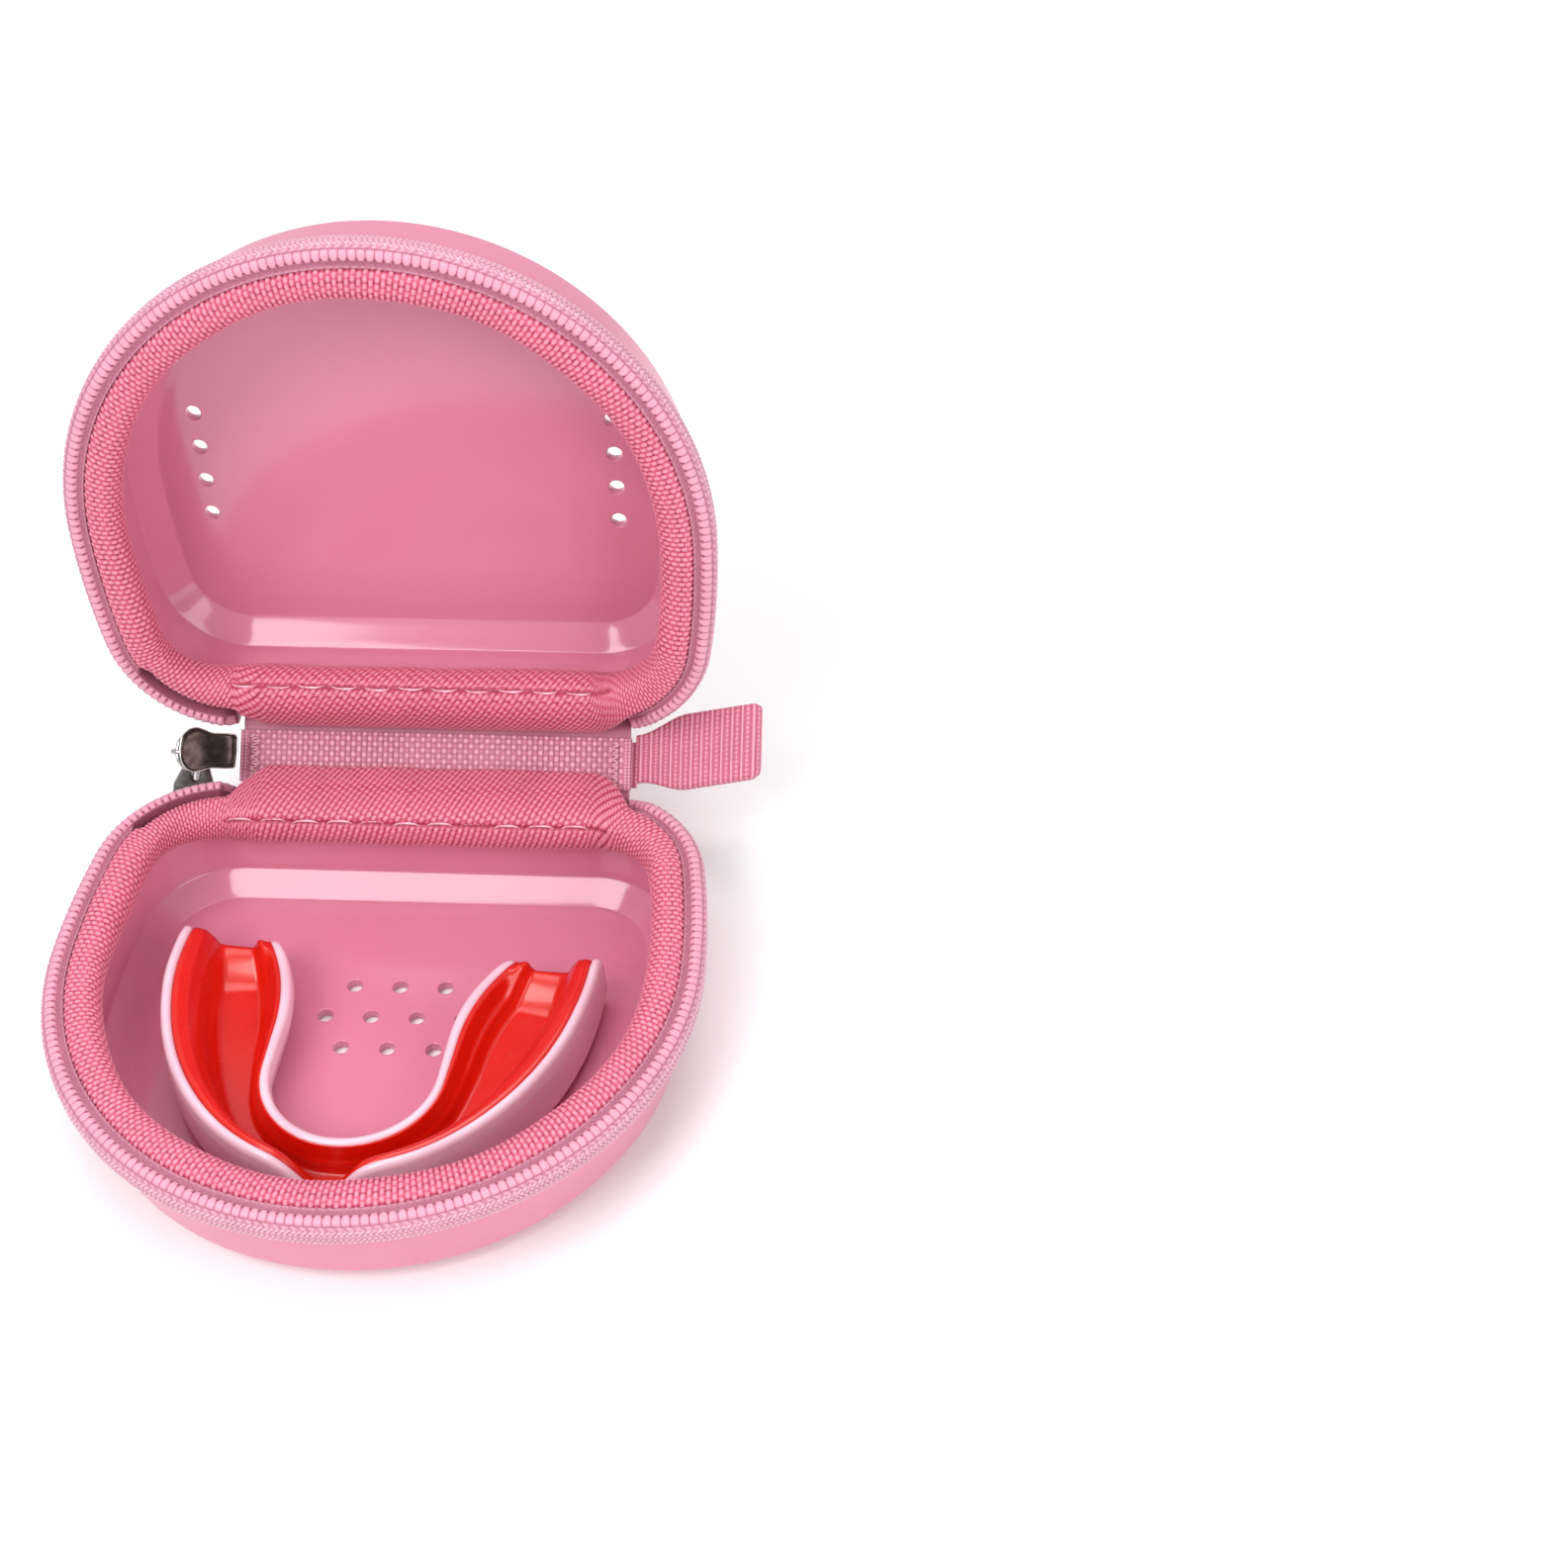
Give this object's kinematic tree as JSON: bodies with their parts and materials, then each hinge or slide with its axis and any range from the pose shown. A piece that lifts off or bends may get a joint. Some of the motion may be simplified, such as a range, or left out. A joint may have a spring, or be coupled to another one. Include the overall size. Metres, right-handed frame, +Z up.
{
  "type": "mouthguard with case",
  "caption": "D-shaped zipped hard case with vent holes, a fabric spine hinge, webbing loop and zip pull, open, with a U-shaped two-layer mouthguard in its base.",
  "frame": {"origin": "on the base's flat bottom, under the centre of the case's round front", "axes": "+Z up, +Y towards the hinge side, +X to the right with the webbing loop"},
  "size_m": [0.0957, 0.1082, 0.1013],
  "materials": {
    "shell": "glossy moulded shell, warm pink",
    "zip_tape": "fine woven zip tape, light pink",
    "coil": "sewn nylon coil, light pink",
    "binding": "ribbed woven binding, hot pink",
    "spine_fabric": "plain woven fabric, light pink",
    "thread": "pale pink sewing thread",
    "webbing": "cross-ribbed webbing, pink",
    "nickel": "polished nickel plating",
    "gunmetal": "polished dark nickel plating",
    "guard_skin": "translucent pale pink outer layer",
    "guard_liner": "glossy red bite liner"
  },
  "bodies": {
    "base": {"base_shell": "shell", "base_zip_tape": "zip_tape", "base_zip_coil": "coil", "base_binding": "binding", "base_hinge_flap": "spine_fabric", "base_hinge_stitches": "thread"},
    "lid": {"lid_shell": "shell", "lid_zip_tape": "zip_tape", "lid_zip_coil": "coil", "lid_binding": "binding", "lid_hinge_flap": "spine_fabric", "lid_hinge_stitches": "thread"},
    "spine": {"spine_panel": "spine_fabric", "spine_cover": "spine_fabric", "spine_bar_tacks": "thread", "loop_anchor": "webbing"},
    "loop": {"webbing_loop": "webbing"},
    "slider": {"slider_body": "nickel", "slider_bridge": "nickel"},
    "ring": {"pull_ring": "nickel"},
    "tab": {"pull_tab": "gunmetal"},
    "mouthguard": {"mouthguard_skin": "guard_skin", "mouthguard_liner": "guard_liner"}
  },
  "joints": [
    {"name": "spine_fold", "type": "hinge", "parent": "base", "child": "spine", "pos_m": [0, 0.0359, 0.0149], "axis": [-1, 0, 0], "range_deg": [-47.5, 42.5]},
    {"name": "lid_fold", "type": "hinge", "parent": "spine", "child": "lid", "pos_m": [0, 0.04195, 0.02044], "axis": [-1, 0, 0], "range_deg": [-47.5, 42.5]},
    {"name": "slider_travel", "type": "hinge", "parent": "spine", "child": "slider", "pos_m": [-0.02614, 0.02549, 0.03233], "axis": [0, 0.7373, 0.6756], "range_deg": [0, 20]},
    {"name": "ring_swing", "type": "hinge", "parent": "slider", "child": "ring", "pos_m": [-0.03353, 0.0392, 0.01736], "axis": [0.9397, 0.2311, -0.2522], "range_deg": [0, 80]},
    {"name": "tab_swing", "type": "hinge", "parent": "ring", "child": "tab", "pos_m": [-0.03495, 0.03993, 0.01273], "axis": [-0.1812, 0.9617, 0.2058], "range_deg": [-60, 60]},
    {"name": "loop_swing", "type": "hinge", "parent": "spine", "child": "loop", "pos_m": [0.0323, 0.04027, 0.0162], "axis": [0, 0.7373, 0.6756], "range_deg": [0, 60]},
    {"name": "mouthguard_lift", "type": "slide", "parent": "base", "child": "mouthguard", "axis": [0, 0, 1], "range_m": [0, 0.06]}
  ],
  "couplings": [
    {"joint": "lid_fold", "follows": "spine_fold", "ratio": 1}
  ]
}
